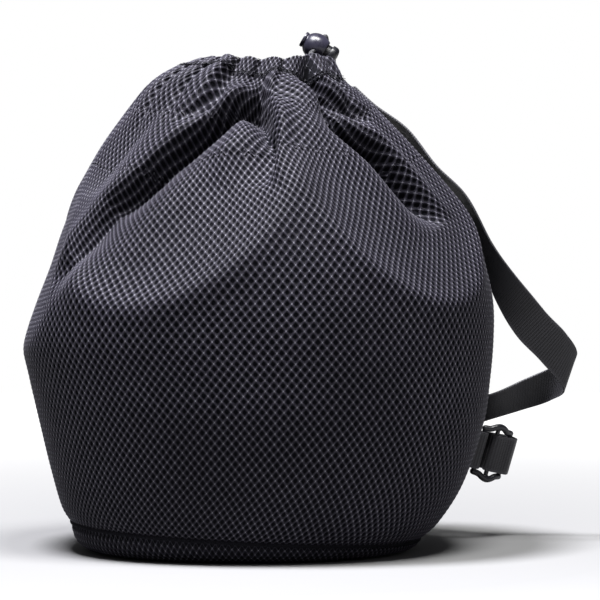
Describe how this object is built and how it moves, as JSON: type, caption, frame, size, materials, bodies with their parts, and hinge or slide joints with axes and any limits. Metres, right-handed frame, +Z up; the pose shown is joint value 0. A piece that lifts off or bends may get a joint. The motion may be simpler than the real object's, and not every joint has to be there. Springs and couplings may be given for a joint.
{
  "type": "mesh ball bag",
  "caption": "Round mesh drawstring bag on a flat base, with a gathered neck, a spring cord lock, a webbing shoulder strap and a buckle.",
  "frame": {"origin": "on the floor, in the middle of the flat of the base panel", "axes": "+Z up to the mouth, -Y towards the front, +X to the right, where the strap and its buckle are"},
  "size_m": [0.375, 0.2796, 0.345],
  "materials": {
    "mesh_fabric": "matt knitted mesh",
    "base_fabric": "matt",
    "hem_fabric": "matt knitted mesh",
    "cord": "braided",
    "lock_plastic": "satin",
    "button_plastic": "satin",
    "webbing": "ribbed webbing",
    "buckle_plastic": "satin",
    "anchor_webbing": "ribbed webbing"
  },
  "bodies": {
    "bag": {"mesh_body": "mesh_fabric", "base_panel": "base_fabric", "neck_hem": "hem_fabric", "drawcord": "cord", "cord_lock_body": "lock_plastic", "shoulder_strap": "webbing", "ladder_lock": "buckle_plastic", "lower_anchor": "anchor_webbing"},
    "lock_button": {"cord_lock_plunger": "button_plastic"}
  },
  "joints": [
    {"name": "lock_button_press", "type": "slide", "parent": "bag", "child": "lock_button", "axis": [-0.848, 0, 0.5299], "range_m": [0, 0.003], "stiffness_N_per_m": 800, "springref_m": -0.003}
  ]
}
